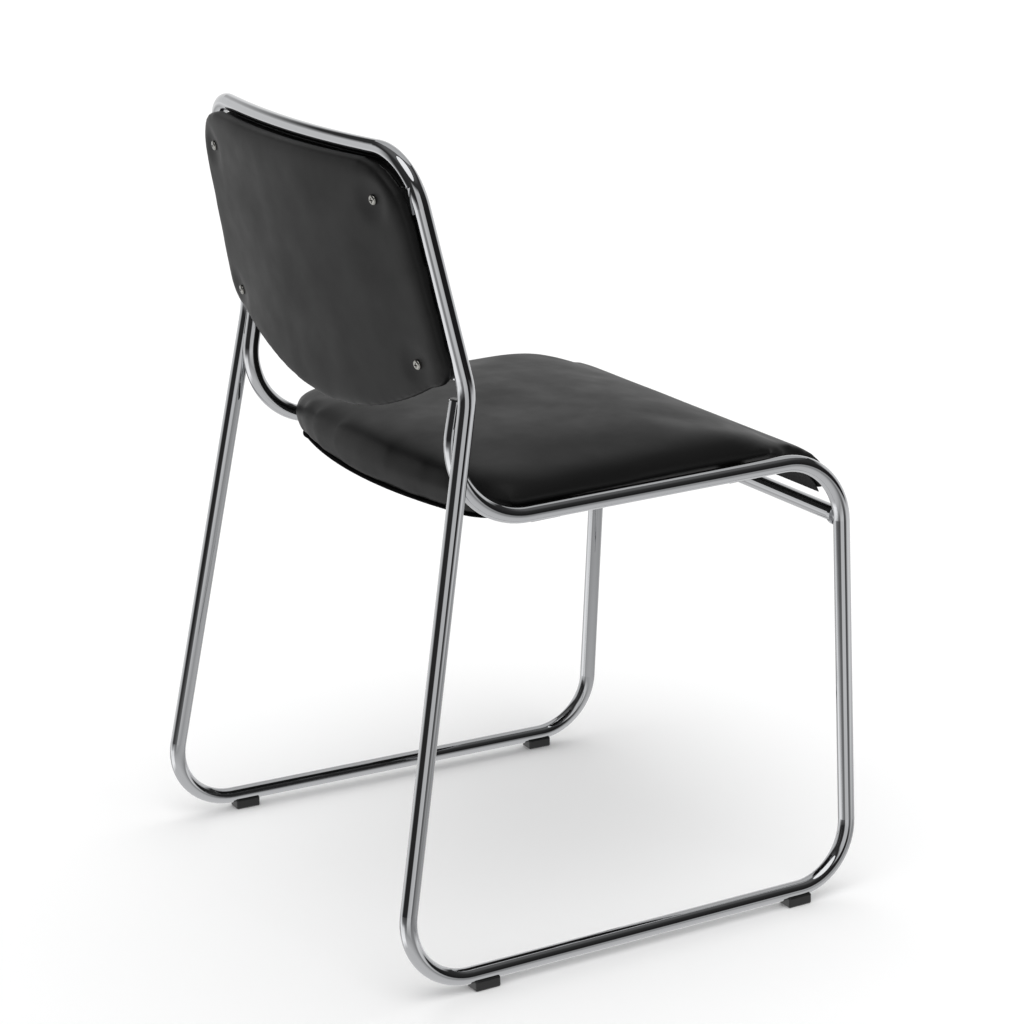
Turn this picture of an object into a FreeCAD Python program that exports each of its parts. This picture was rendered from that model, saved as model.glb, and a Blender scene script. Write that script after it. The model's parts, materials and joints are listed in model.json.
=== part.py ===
import FreeCAD, Part
import math
import os
from FreeCAD import Placement, Rotation, Vector

# Sled base visitor chair, stacking kind. Millimetres, +Z up, the sitter looks along -Y,
# and the sitter's right is -X. The origin is on the floor under the middle of the chair.

doc = FreeCAD.newDocument("sled_base_visitor_chair")

# Driving dimensions. Heights are above the floor, spacings are between tube centres.
SIZES = {
    # Frame tube
    "tube_diameter": 16.0,
    "tube_wall": 1.5,
    "floor_gap": 6.5,
    # Sled base, at the corners where the straight runs would meet
    "rear_corner_y": 258.0,
    "front_corner_y": -238.5,
    "rear_floor_spacing": 517.0,
    "front_floor_spacing": 496.0,
    "rear_floor_bend": 60.0,
    "front_floor_bend": 60.0,
    # Seat rails
    "rail_front_height": 432.5,
    "rail_front_spacing": 432.0,
    "front_leg_lean": 5.3,
    "rail_slope": 1.35,
    "rail_front_bend": 62.0,
    "rail_rear_bend": 72.0,
    "rail_end_drop": 8.0,
    "frame_joint_drop": 108.0,
    "weld_gap": 0.2,
    # Rear legs, knee and back hoop; the knee is over the rail's front end, the top over the knee
    "knee_rise": 113.0,
    "knee_spacing": 448.0,
    "knee_forward": 98.0,
    "knee_bend": 80.0,
    "back_recline": 11.0,
    "hoop_rise": 211.5,
    "hoop_top_spacing": 400.0,
    "hoop_corner_bend": 52.0,
    "hoop_bow": 20.0,
    "hoop_bow_bend": 1400.0,
    "hoop_joint_drop": 81.0,
    # Front crossbar, spigots and end plugs
    "crossbar_drop": 61.0,
    "weld_bead": 2.2,
    "end_weld_length": 24.0,
    "end_weld_depth": 3.6,
    "spigot_length": 60.0,
    "spigot_wall": 1.5,
    "spigot_clearance": 0.1,
    "plug_depth": 12.0,
    # Floor glides
    "rear_glide_inset": 87.0,
    "front_glide_inset": 61.5,
    "glide_length": 26.0,
    "glide_width": 17.0,
    "glide_saddle": 4.0,
    "glide_round": 1.8,
    "glide_pin_diameter": 6.0,
    "glide_pin_top": 6.0,
    "glide_pin_floor_gap": 3.0,
    # Seat
    "seat_rear_inset": 100.0,
    "seat_width": 424.0,
    "seat_rear_sagitta": 18.0,
    "seat_rear_corner": 48.0,
    "seat_board_thickness": 11.0,
    "seat_board_drop": 5.0,
    "seat_board_gap": 3.0,
    "seat_board_setback": 3.0,
    "seat_lip_angle": 67.5,
    "seat_pad_thickness": 35.0,
    "seat_front_round": 150.0,
    "seat_front_round_angle": 36.0,
    "seat_lip_thickness": 16.0,
    "seat_edge_round": 20.0,
    "seat_crown": 5.0,
    "seat_wadding": 8.0,
    "cover_thickness": 1.2,
    "dust_cover_thickness": 0.8,
    "soft_clearance": 0.4,
    # Seat fixings
    "seat_tab_length": 30.0,
    "seat_tab_reach": 36.0,
    "seat_tab_thickness": 3.0,
    "front_tab_inset": 103.5,
    "rear_tab_inset": 183.0,
    "seat_screw_inset": 26.0,
    # Back
    "back_board_thickness": 9.0,
    "back_board_gap": 2.0,
    "back_edge_gap": 0.6,
    "back_bottom_middle": 36.0,
    "back_bottom_corner": 10.0,
    "back_corner_round": 24.0,
    "back_board_behind": 4.5,
    "back_front_foam": 16.0,
    "back_rear_foam": 16.0,
    "back_edge_round": 10.0,
    "back_rear_inset": 3.0,
    "back_screw_drop": 38.5,
    "back_screw_bottom": 27.0,
    "back_screw_inset": 34.0,
    "back_tab_margin": 12.0,
    "back_tab_width": 24.0,
    "back_tab_thickness": 2.5,
    "back_dimple": 5.0,
    # Fasteners
    "screw_diameter": 5.0,
    "screw_hole": 6.0,
    "screw_head_diameter": 9.6,
    "screw_head_height": 3.0,
    "screw_recess_width": 1.2,
    "screw_recess_span": 5.0,
    "screw_recess_depth": 1.6,
    "washer_diameter": 13.0,
    "washer_thickness": 1.2,
    "nut_flange_diameter": 16.0,
    "nut_flange_thickness": 1.4,
    "nut_barrel_diameter": 7.0,
    "nut_barrel_depth": 7.0,
}

sheet = doc.addObject("Spreadsheet::Sheet", "sizes")
for row, (alias, value) in enumerate(SIZES.items(), start=1):
    sheet.set(f"A{row}", alias.replace("_", " "))
    sheet.set(f"B{row}", str(value))
    sheet.setAlias(f"B{row}", alias)
doc.recompute()


def size(name):
    """A driving dimension, read from the sheet."""
    return float(sheet.get(name))


nodes = []


def feature(name, shape, placement=Placement()):
    """A piece whose shape is made directly from the sizes in the sheet."""
    item = doc.addObject("Part::Feature", name)
    item.Shape = shape
    item.Placement = placement
    item.Label = name
    nodes.append(item)


def plane_of(body, role):
    """One of a body's own origin planes."""
    return next(plane for plane in body.Origin.OriginFeatures if plane.Role == role)


def add_sketch(body, name, role):
    """An empty sketch on one of the body's origin planes."""
    sketch = body.newObject("Sketcher::SketchObject", name)
    sketch.AttachmentSupport = [(plane_of(body, role), "")]
    sketch.MapMode = "FlatFace"
    return sketch


# Geometry shared by the frame pieces

tube_radius = size("tube_diameter") / 2
runner_height = size("floor_gap") + tube_radius
recline = math.radians(size("back_recline"))
slope = math.radians(size("rail_slope"))
rail_height = size("rail_front_height")
knee_height = rail_height + size("knee_rise")
hoop_top_height = knee_height + size("hoop_rise")


def along(start, end, height):
    """The point at a height on the straight line from start to end."""
    share = (height - start.z) / (end.z - start.z)
    return start + (end - start) * share


def frame_points(side):
    """Corner points of one side of the frame's tube path; side is -1 or 1 along X."""
    rear = Vector(side * size("rear_floor_spacing") / 2, size("rear_corner_y"), runner_height)
    front = Vector(side * size("front_floor_spacing") / 2, size("front_corner_y"), runner_height)
    knee = Vector(side * size("knee_spacing") / 2,
                  size("rear_corner_y") - size("knee_forward"), knee_height)
    rail_front = Vector(side * size("rail_front_spacing") / 2,
                        size("front_corner_y") - size("front_leg_lean"), rail_height)
    hoop_top = Vector(side * size("hoop_top_spacing") / 2,
                      knee.y + size("hoop_rise") * math.tan(recline), hoop_top_height)
    # The rail's rear end stands beside the leg, on its inner side
    end_on_leg = along(rear, knee, knee_height - size("rail_end_drop"))
    rail_x = end_on_leg.x - side * (size("tube_diameter") + size("weld_gap"))
    leg_lean = (knee.y - rear.y) / (knee.z - rear.z)
    corner_height = ((rail_front.z - math.tan(slope) * (rear.y - rail_front.y - leg_lean * rear.z))
                     / (1 + math.tan(slope) * leg_lean))
    rail_rear = Vector(rail_x, rear.y + leg_lean * (corner_height - rear.z), corner_height)
    rail_end = Vector(rail_x, end_on_leg.y, end_on_leg.z)
    return {
        "rear": rear, "front": front, "knee": knee, "rail_front": rail_front,
        "hoop_top": hoop_top, "rail_rear": rail_rear, "rail_end": rail_end,
        "leg_joint": along(front, rail_front, rail_height - size("frame_joint_drop")),
        "hoop_joint": along(rear, knee, knee_height - size("hoop_joint_drop")),
        "crossbar": along(front, rail_front, rail_height - size("crossbar_drop")),
    }


right = frame_points(-1)
left = frame_points(1)
SIDES = {"right": right, "left": left}


def bent_wire(points, radii):
    """A wire of straight runs joined by tangent arcs at the inner points."""
    edges = []
    start = points[0]
    for index, radius in enumerate(radii, start=1):
        corner = points[index]
        back = (points[index - 1] - corner).normalize()
        ahead = (points[index + 1] - corner).normalize()
        half = back.getAngle(ahead) / 2
        reach = radius / math.tan(half)
        entry = corner + back * reach
        exit_ = corner + ahead * reach
        bisector = (back + ahead).normalize()
        middle = corner + bisector * (radius / math.sin(half) - radius)
        edges.append(Part.LineSegment(start, entry).toShape())
        edges.append(Part.Arc(entry, middle, exit_).toShape())
        start = exit_
    edges.append(Part.LineSegment(start, points[-1]).toShape())
    return Part.Wire(edges)


def swept_rod(points, radii, radius):
    """A solid round rod along a bent path."""
    wire = bent_wire(points, radii)
    heading = (points[1] - points[0]).normalize()
    circle = Part.Wire([Part.makeCircle(radius, points[0], heading)])
    rod = wire.makePipeShell([circle], True, False)
    expected = math.pi * radius ** 2 * wire.Length
    if abs(rod.Volume / expected - 1) > 0.001:
        raise ValueError("a swept rod has the wrong volume")
    return rod


def swept_tube(points, radii):
    """A hollow tube along a bent path."""
    bore_radius = tube_radius - size("tube_wall")
    return swept_rod(points, radii, tube_radius).cut(swept_rod(points, radii, bore_radius))


sled_paths = {}
rail_paths = {}
for word, point in SIDES.items():
    sled_paths[word] = ([point["leg_joint"], point["front"], point["rear"], point["hoop_joint"]],
                        [size("front_floor_bend"), size("rear_floor_bend")])
    rail_paths[word] = ([point["rail_end"], point["rail_rear"], point["rail_front"], point["leg_joint"]],
                        [size("rail_rear_bend"), size("rail_front_bend")])

# The top rail bows to the rear in the middle, square to the leaning hoop
hoop_rearward = Vector(0, math.cos(recline), -math.sin(recline))
hoop_upward = Vector(0, math.sin(recline), math.cos(recline))
hoop_middle = (right["hoop_top"] + left["hoop_top"]) * 0.5 + hoop_rearward * size("hoop_bow")
hoop_path = ([right["hoop_joint"], right["knee"], right["hoop_top"], hoop_middle,
              left["hoop_top"], left["knee"], left["hoop_joint"]],
             [size("knee_bend"), size("hoop_corner_bend"), size("hoop_bow_bend"),
              size("hoop_corner_bend"), size("knee_bend")])

rail_rods = {word: swept_rod(*path, tube_radius) for word, path in rail_paths.items()}
sled_rods = {word: swept_rod(*path, tube_radius) for word, path in sled_paths.items()}
hoop_rod = swept_rod(*hoop_path, tube_radius)


# Floor glides: a saddle under the runner, held by a pin pushed into the tube

def glide_centre(word, y):
    """The point on the runner's centre line over a glide."""
    point = SIDES[word]
    share = (y - point["rear"].y) / (point["front"].y - point["rear"].y)
    return point["rear"] + (point["front"] - point["rear"]) * share


def runner_turn(word):
    """The runner's turn about Z, in degrees, away from the Y axis."""
    run = SIDES[word]["rear"] - SIDES[word]["front"]
    return -math.degrees(math.atan2(run.x, run.y))


def glide_pin_rod(centre, radius):
    """A short upright rod from inside the glide into the tube's bore."""
    bottom = size("glide_pin_floor_gap")
    top = runner_height - tube_radius + size("tube_wall") + size("glide_pin_top")
    return Part.makeCylinder(radius, top - bottom, Vector(centre.x, centre.y, bottom))


GLIDES = {"rear": size("rear_corner_y") - size("rear_glide_inset"),
          "front": size("front_corner_y") + size("front_glide_inset")}
glide_centres = {}
for word in SIDES:
    for place, y in GLIDES.items():
        glide_centres[place, word] = glide_centre(word, y)

for word, path in sled_paths.items():
    tube = swept_tube(*path)
    for place in GLIDES:
        centre = glide_centres[place, word]
        tube = tube.cut(glide_pin_rod(centre, size("glide_pin_diameter") / 2))
    feature(f"sled_base_{word}", tube)

for word, path in rail_paths.items():
    feature(f"seat_rail_{word}", swept_tube(*path))

feature("back_hoop", swept_tube(*hoop_path))

for (place, word), centre in glide_centres.items():
    name = f"glide_{place}_{word}"
    body = doc.addObject("PartDesign::Body", f"{name}_block")
    sketch = add_sketch(body, f"{name}_profile", "YZ_Plane")
    half = size("glide_length") / 2
    top = size("floor_gap") + size("glide_saddle")
    corners = [(half, 0), (half, top), (-half, top), (-half, 0)]
    for index, corner in enumerate(corners):
        following = corners[(index + 1) % len(corners)]
        sketch.addGeometry(Part.LineSegment(Vector(*corner, 0), Vector(*following, 0)), False)
    pad = body.newObject("PartDesign::Pad", f"{name}_pad")
    pad.Profile = sketch
    pad.setExpression("Length", "sizes.glide_width")
    pad.Midplane = True
    body.Placement = Placement(Vector(centre.x, centre.y, 0), Rotation(Vector(0, 0, 1), runner_turn(word)))
    doc.recompute()
    saddle = body.Shape.makeFillet(size("glide_round"), body.Shape.Edges).cut(sled_rods[word])
    saddle = saddle.cut(glide_pin_rod(centre, size("glide_pin_diameter") / 2))
    feature(name, saddle)

glide_pins = [glide_pin_rod(centre, size("glide_pin_diameter") / 2) for centre in glide_centres.values()]
feature("glide_pins", Part.makeCompound(glide_pins))


# Inner spigots that join the bent tubes end to end

def spigot(joint, heading):
    """A short sleeve inside the tube, centred on a joint."""
    length = size("spigot_length")
    outer = tube_radius - size("tube_wall") - size("spigot_clearance")
    start = joint - heading * (length / 2)
    sleeve = Part.makeCylinder(outer, length, start, heading)
    return sleeve.cut(Part.makeCylinder(outer - size("spigot_wall"), length, start, heading))


spigots = []
for point in SIDES.values():
    spigots.append(spigot(point["leg_joint"], (point["rail_front"] - point["front"]).normalize()))
    spigots.append(spigot(point["hoop_joint"], (point["knee"] - point["rear"]).normalize()))
feature("tube_spigots", Part.makeCompound(spigots))

# Front crossbar between the legs, its ends cut to the tubes they meet
bar_start = right["crossbar"]
bar_end = left["crossbar"]
bar_heading = (bar_end - bar_start).normalize()
bar_length = bar_start.distanceToPoint(bar_end)
bar_rod = Part.makeCylinder(tube_radius, bar_length, bar_start, bar_heading)
bar_bore = Part.makeCylinder(tube_radius - size("tube_wall"), bar_length, bar_start, bar_heading)
crossbar = bar_rod.cut(bar_bore)
for word in SIDES:
    crossbar = crossbar.cut(rail_rods[word])
crossbar = max(crossbar.Solids, key=lambda solid: solid.Volume)
feature("front_crossbar", crossbar)


# Weld beads

def crossbar_weld(word):
    """A ring of weld metal where the crossbar meets a leg."""
    inward = bar_heading if word == "right" else bar_heading * -1
    start = SIDES[word]["crossbar"] + inward * (tube_radius - size("weld_bead"))
    ring = Part.makeCylinder(tube_radius + size("weld_bead"), 2 * size("weld_bead"), start, inward)
    ring = ring.cut(bar_rod)
    ring = ring.cut(rail_rods[word])
    return max(ring.Solids, key=lambda solid: solid.Volume)


feature("crossbar_welds", Part.makeCompound([crossbar_weld(word) for word in SIDES]))


def end_weld(word, face):
    """A bead in the groove between the rail's end and the leg, on the front or rear face."""
    point = SIDES[word]
    heading = (point["rail_end"] - point["rail_rear"]).normalize()
    outward = Vector(math.copysign(1, point["rail_end"].x), 0, 0)
    groove = heading.cross(outward).normalize() * face
    bead = size("weld_bead")
    start = (point["rail_end"] - heading * size("end_weld_length")
             + outward * (tube_radius + size("weld_gap") / 2) + groove * size("end_weld_depth"))
    rod = Part.makeCylinder(bead, size("end_weld_length") - bead, start, heading)
    rod = rod.cut(rail_rods[word]).cut(hoop_rod)
    return max(rod.Solids, key=lambda solid: solid.Volume)


end_welds = [end_weld(word, face) for word in SIDES for face in (-1, 1)]
feature("rail_end_welds", Part.makeCompound(end_welds))

# Domed plugs in the rails' open ends
plugs = []
for point in SIDES.values():
    heading = (point["rail_end"] - point["rail_rear"]).normalize()
    inner = point["rail_end"] - heading * size("plug_depth")
    stem = Part.makeCylinder(tube_radius - size("tube_wall"), size("plug_depth"), inner, heading)
    dome = Part.makeSphere(tube_radius - size("tube_wall") / 2, point["rail_end"])
    flat = Part.makeCylinder(tube_radius, size("tube_wall"), point["rail_end"], heading)
    plugs.append(stem.fuse(dome.common(flat)).removeSplitter())
feature("rail_end_plugs", Part.makeCompound(plugs))


# Seat. Its side profile is drawn in a frame laid along the rail: the first coordinate runs
# rearward from the rail's front corner, the second is square to it, up from the rail's centre.

seat_origin = right["rail_front"]
turn = ((seat_origin - right["rail_rear"]).getAngle(right["leg_joint"] - seat_origin))
bend_radius = size("rail_front_bend")
bend_start = bend_radius * math.tan(turn / 2)
lip_angle = math.radians(size("seat_lip_angle"))


def seat_point(rearward, upward, x=0.0):
    """A point given in the seat's own frame."""
    y = seat_origin.y + rearward * math.cos(slope) + upward * math.sin(slope)
    z = seat_origin.z - rearward * math.sin(slope) + upward * math.cos(slope)
    return Vector(x, y, z)


def bend_point(radius, angle, x=0.0):
    """A point on a circle about the rail's front bend, the angle counted forward from the top."""
    return seat_point(bend_start - radius * math.sin(angle), radius * math.cos(angle) - bend_radius, x)


def seat_reach(y):
    """The rearward coordinate of a place along the seat, given its y."""
    return (y - seat_origin.y) / math.cos(slope)


def extruded(edges, half_width):
    """A closed profile in the middle plane, extruded to both sides."""
    face = Part.Face(Part.Wire(edges))
    face.translate(Vector(-half_width, 0, 0))
    return face.extrude(Vector(2 * half_width, 0, 0))


def seat_band(low, high, rear, half_width, angle):
    """A sheet of even thickness that follows the rail and its front bend."""
    corners = [seat_point(rear, low), seat_point(bend_start, low), bend_point(bend_radius + low, angle),
               bend_point(bend_radius + high, angle), seat_point(bend_start, high), seat_point(rear, high)]
    lower_arc = Part.Arc(corners[1], bend_point(bend_radius + low, angle / 2), corners[2])
    upper_arc = Part.Arc(corners[3], bend_point(bend_radius + high, angle / 2), corners[4])
    edges = [Part.LineSegment(corners[0], corners[1]).toShape(), lower_arc.toShape(),
             Part.LineSegment(corners[2], corners[3]).toShape(), upper_arc.toShape(),
             Part.LineSegment(corners[4], corners[5]).toShape(),
             Part.LineSegment(corners[5], corners[0]).toShape()]
    return extruded(edges, half_width)


def seat_outline(half_width, rear):
    """An upright prism with the seat's plan: straight sides, rounded rear corners, curved rear."""
    corner = size("seat_rear_corner")
    sagitta = size("seat_rear_sagitta")
    front = seat_origin.y - 2 * tube_radius - size("seat_lip_thickness") - size("seat_pad_thickness")
    shoulder = rear - sagitta - corner
    inner = half_width - corner
    quarter = corner * math.sqrt(0.5)
    right_top = Vector(-inner, rear - sagitta, 0)
    left_top = Vector(inner, rear - sagitta, 0)
    right_arc = Part.Arc(Vector(-half_width, shoulder, 0), Vector(-inner - quarter, shoulder + quarter, 0), right_top)
    left_arc = Part.Arc(left_top, Vector(inner + quarter, shoulder + quarter, 0), Vector(half_width, shoulder, 0))
    edges = [
        Part.LineSegment(Vector(-half_width, front, 0), Vector(-half_width, shoulder, 0)).toShape(),
        right_arc.toShape(),
        Part.Arc(right_top, Vector(0, rear, 0), left_top).toShape(),
        left_arc.toShape(),
        Part.LineSegment(Vector(half_width, shoulder, 0), Vector(half_width, front, 0)).toShape(),
        Part.LineSegment(Vector(half_width, front, 0), Vector(-half_width, front, 0)).toShape(),
    ]
    return Part.Face(Part.Wire(edges)).extrude(Vector(0, 0, hoop_top_height))


board_low = -size("seat_board_drop")
board_high = board_low + size("seat_board_thickness")
pad_high = board_high + size("seat_pad_thickness")
rail_inner = min(abs(right["rail_rear"].x), abs(right["rail_front"].x)) - tube_radius
board_half = rail_inner - size("seat_board_gap")
skin = size("cover_thickness")
seat_rear = size("rear_corner_y") - size("seat_rear_inset")
board_rear = seat_rear - size("seat_board_setback")
rear_reach = seat_reach(seat_rear) + size("seat_rear_sagitta")

board = seat_band(board_low, board_high, rear_reach, board_half, lip_angle)
board = board.common(seat_outline(board_half, board_rear))
dust_cover = seat_band(board_low - size("dust_cover_thickness"), board_low, rear_reach, board_half, lip_angle)
dust_cover = dust_cover.common(seat_outline(board_half, board_rear))


def lip_end(inset):
    """The angle round the front bend at which the cushion, or its inset part, ends."""
    return lip_angle + (skin - inset) / bend_radius


def pad_top(inset):
    """The cushion's top line in the middle plane: the rear end, both ends of the round, the lip."""
    top = pad_high - inset
    round_radius = size("seat_front_round") - inset
    round_angle = math.radians(size("seat_front_round_angle"))
    lip = bend_point(bend_radius + board_high + size("seat_lip_thickness") - inset, lip_end(inset))
    behind = lip - seat_origin
    lip_rear = behind.y * math.cos(slope) - behind.z * math.sin(slope)
    lip_up = behind.y * math.sin(slope) + behind.z * math.cos(slope)
    # The straight below the round leaves it at the round's end angle and meets the lip
    end_up = top - round_radius * (1 - math.cos(round_angle))
    end_rear = lip_rear + (end_up - lip_up) / math.tan(round_angle)
    round_start = end_rear + round_radius * math.sin(round_angle)
    round_middle = seat_point(round_start - round_radius * math.sin(round_angle / 2),
                              top - round_radius * (1 - math.cos(round_angle / 2)))
    return seat_point(rear_reach, top), seat_point(round_start, top), round_middle, seat_point(end_rear, end_up), lip


def pad_side(low, inset, half_width):
    """The cushion's long section: even over the rails, rounding down to a thin front lip."""
    rear, round_start, round_middle, round_end, lip = pad_top(inset)
    end = lip_end(inset)
    corners = [seat_point(rear_reach, low), seat_point(bend_start, low), bend_point(bend_radius + low, end)]
    edges = [Part.LineSegment(corners[0], corners[1]).toShape(),
             Part.Arc(corners[1], bend_point(bend_radius + low, end / 2), corners[2]).toShape(),
             Part.LineSegment(corners[2], lip).toShape(),
             Part.LineSegment(lip, round_end).toShape(),
             Part.Arc(round_end, round_middle, round_start).toShape(),
             Part.LineSegment(round_start, rear).toShape(),
             Part.LineSegment(rear, corners[0]).toShape()]
    return extruded(edges, half_width)


def pad_crown(inset, half_width):
    """A bar that follows the cushion's top line, crowned across and rounded along both sides."""
    rear, round_start, round_middle, round_end, lip = pad_top(inset)
    past_lip = lip + (lip - round_end).normalize() * size("seat_lip_thickness")
    path = Part.Wire([Part.LineSegment(rear, round_start).toShape(),
                      Part.Arc(round_start, round_middle, round_end).toShape(),
                      Part.LineSegment(round_end, past_lip).toShape()])
    edge_round = size("seat_edge_round") - inset
    crown = size("seat_crown")
    depth = 2 * size("seat_pad_thickness")
    inner = half_width - edge_round
    bulge = edge_round * math.sqrt(0.5)

    def across(x, down):
        """A point of the cross-section at the rear end of the top line."""
        return seat_point(rear_reach, pad_high - inset - down, x)

    outline = [Part.Arc(across(-inner, crown), across(0, 0), across(inner, crown)).toShape(),
               Part.Arc(across(inner, crown), across(inner + bulge, crown + edge_round - bulge),
                        across(half_width, crown + edge_round)).toShape(),
               Part.LineSegment(across(half_width, crown + edge_round), across(half_width, depth)).toShape(),
               Part.LineSegment(across(half_width, depth), across(-half_width, depth)).toShape(),
               Part.LineSegment(across(-half_width, depth), across(-half_width, crown + edge_round)).toShape(),
               Part.Arc(across(-half_width, crown + edge_round),
                        across(-inner - bulge, crown + edge_round - bulge), across(-inner, crown)).toShape()]
    return path.makePipeShell([Part.Wire(outline)], True, False)


def pad_solid(inset):
    """The cushion, or what is left of it inside a cover of the inset's thickness."""
    half_width = size("seat_width") / 2 - inset
    over_rail = tube_radius + size("soft_clearance") + inset
    inner_half = board_half + skin - inset
    wide = pad_side(over_rail, inset, half_width)
    narrow = pad_side(board_high, inset, inner_half)
    pad = wide.fuse(narrow).common(pad_crown(inset, half_width))
    # A thin wadding lies over the whole board, also where the rounded sides end at the lip
    wadding_high = board_high + size("seat_wadding") - inset
    wadding = seat_band(board_high, wadding_high, rear_reach, inner_half, lip_end(inset))
    pad = pad.fuse(wadding).common(seat_outline(half_width, seat_rear - inset))
    for path in rail_paths.values():
        pad = pad.cut(swept_rod(*path, over_rail))
    return max(pad.Solids, key=lambda solid: solid.Volume)


seat_outer = pad_solid(0.0)
seat_foam = pad_solid(skin)
# The cover's skirt is drawn down round the board's edge
skirt = seat_band(board_low, board_high, rear_reach, board_half + skin, lip_end(0.0))
skirt = skirt.common(seat_outline(board_half + skin, board_rear + skin))
seat_cover = seat_outer.fuse(skirt).cut(seat_foam).cut(board)
seat_cover = max(seat_cover.Solids, key=lambda solid: solid.Volume)


# Fasteners. Each is made standing on its own origin: the axis is +Z, the head looks along -Z.

def screw(length):
    """A pan head screw with a cross recess; the head's bearing face is at the origin."""
    head_radius = size("screw_head_diameter") / 2
    height = size("screw_head_height")
    head = Part.makeCylinder(head_radius, height, Vector(0, 0, -height))
    rim = [edge for edge in head.Edges
           if abs(edge.CenterOfMass.z + height) < 0.01 and edge.Curve.TypeId == "Part::GeomCircle"]
    head = head.makeFillet(height * 0.6, rim)
    span = size("screw_recess_span")
    width = size("screw_recess_width")
    depth = size("screw_recess_depth")
    for wide, long in ((span, width), (width, span)):
        slot = Part.makeBox(wide, long, depth, Vector(-wide / 2, -long / 2, -height))
        head = head.cut(slot)
    shank = Part.makeCylinder(size("screw_diameter") / 2, length)
    return head.fuse(shank).removeSplitter()


def tee_nut():
    """A tee nut: a flange with a threaded barrel behind it, the flange's seat at the origin."""
    flange = Part.makeCylinder(size("nut_flange_diameter") / 2, size("nut_flange_thickness"))
    depth = size("nut_barrel_depth")
    barrel = Part.makeCylinder(size("nut_barrel_diameter") / 2, depth, Vector(0, 0, -depth))
    bore = Part.makeCylinder(size("screw_diameter") / 2, depth + size("nut_flange_thickness"),
                             Vector(0, 0, -depth))
    return flange.fuse(barrel).removeSplitter().cut(bore)


def cup_washer():
    """A flat round washer ahead of a screw's head, its bearing face at the origin."""
    thickness = size("washer_thickness")
    disc = Part.makeCylinder(size("washer_diameter") / 2, thickness)
    return disc.cut(Part.makeCylinder(size("screw_diameter") / 2, thickness))


def rod_at(placement, radius, start, end):
    """A round rod along a fastener's axis, between two stations on it."""
    rod = Part.makeCylinder(radius, end - start, Vector(0, 0, start))
    rod.Placement = placement
    return rod


def placed(shape, placement):
    """A copy of a shape, put at a placement."""
    copy = shape.copy()
    copy.Placement = placement
    return copy


# Seat fixings: four tabs on the rails, a screw up through each into a tee nut on the board

seat_turn = Rotation(Vector(1, 0, 0), -size("rail_slope"))
tab_high = board_low - size("dust_cover_thickness")
tab_low = tab_high - size("seat_tab_thickness")
SEAT_TABS = {"front": size("front_corner_y") + size("front_tab_inset"),
             "rear": size("rear_corner_y") - size("rear_tab_inset")}
seat_screw_places = []
for word, point in SIDES.items():
    side = math.copysign(1, point["rail_front"].x)
    for place, y in SEAT_TABS.items():
        reach = seat_reach(y)
        share = reach / seat_reach(point["rail_rear"].y)
        rail_x = point["rail_front"].x + (point["rail_rear"].x - point["rail_front"].x) * share
        screw_x = rail_x - side * (tube_radius + size("seat_screw_inset"))
        inner_x = rail_x - side * (tube_radius + size("seat_tab_reach"))
        half = size("seat_tab_length") / 2
        plate = Part.makeBox(abs(rail_x - inner_x), 2 * half, size("seat_tab_thickness"),
                             Vector(min(rail_x, inner_x) - screw_x, -half, -size("seat_tab_thickness")))
        middle = seat_point(reach, tab_high, screw_x)
        plate.Placement = Placement(middle, seat_turn)
        axis = Placement(middle, seat_turn)
        plate = plate.cut(rail_rods[word])
        plate = max(plate.Solids, key=lambda solid: solid.Volume)
        plate = plate.cut(rod_at(axis, size("screw_hole") / 2, -size("seat_tab_thickness"), 0))
        feature(f"seat_tab_{place}_{word}", plate)
        seat_screw_places.append(axis)

seat_screw_length = (size("seat_tab_thickness") + size("dust_cover_thickness")
                     + size("seat_board_thickness") + size("nut_flange_thickness"))
nut_seat = size("dust_cover_thickness") + size("seat_board_thickness")
seat_screws = []
seat_nuts = []
for axis in seat_screw_places:
    head_seat = axis.multiply(Placement(Vector(0, 0, -size("seat_tab_thickness")), Rotation()))
    nut_place = axis.multiply(Placement(Vector(0, 0, nut_seat), Rotation()))
    seat_screws.append(placed(screw(seat_screw_length), head_seat))
    seat_nuts.append(placed(tee_nut(), nut_place))
    dust_cover = dust_cover.cut(rod_at(axis, size("screw_hole") / 2, 0, size("dust_cover_thickness")))
    board = board.cut(rod_at(axis, size("nut_barrel_diameter") / 2, 0, nut_seat + 1))
    pocket = rod_at(axis, size("nut_flange_diameter") / 2 + size("soft_clearance"), nut_seat,
                    nut_seat + size("nut_flange_thickness") + size("soft_clearance"))
    seat_cover = seat_cover.cut(pocket)
    seat_foam = seat_foam.cut(pocket)

feature("seat_board", board)
feature("seat_dust_cover", dust_cover)
feature("seat_foam", seat_foam)
feature("seat_cover", seat_cover)
feature("seat_screws", Part.makeCompound(seat_screws))
feature("seat_tee_nuts", Part.makeCompound(seat_nuts))


# Back. Its pieces are drawn in the hoop's own frame, with its origin midway between the knees:
# X across, Y up along the leaning hoop, Z forward. Depths count rearward from the middle skin
# of a wide drum that follows the top rail's bow, so every layer is part of a drum's wall.

back_frame = Placement((right["knee"] + left["knee"]) * 0.5,
                       Rotation(Vector(1, 0, 0), 90 - size("back_recline")))
hoop_height = size("hoop_rise") / math.cos(recline)
half_top = size("hoop_top_spacing") / 2
half_knee = size("knee_spacing") / 2
half_chord = (half_top + half_knee) / 2
drum_radius = (half_chord ** 2 + size("hoop_bow") ** 2) / (2 * size("hoop_bow"))
drum_axis_ahead = drum_radius - size("hoop_bow")


def hoop_half(up):
    """Half the hoop's tube spacing at a height along it."""
    return half_knee + (half_top - half_knee) * up / hoop_height


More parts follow.
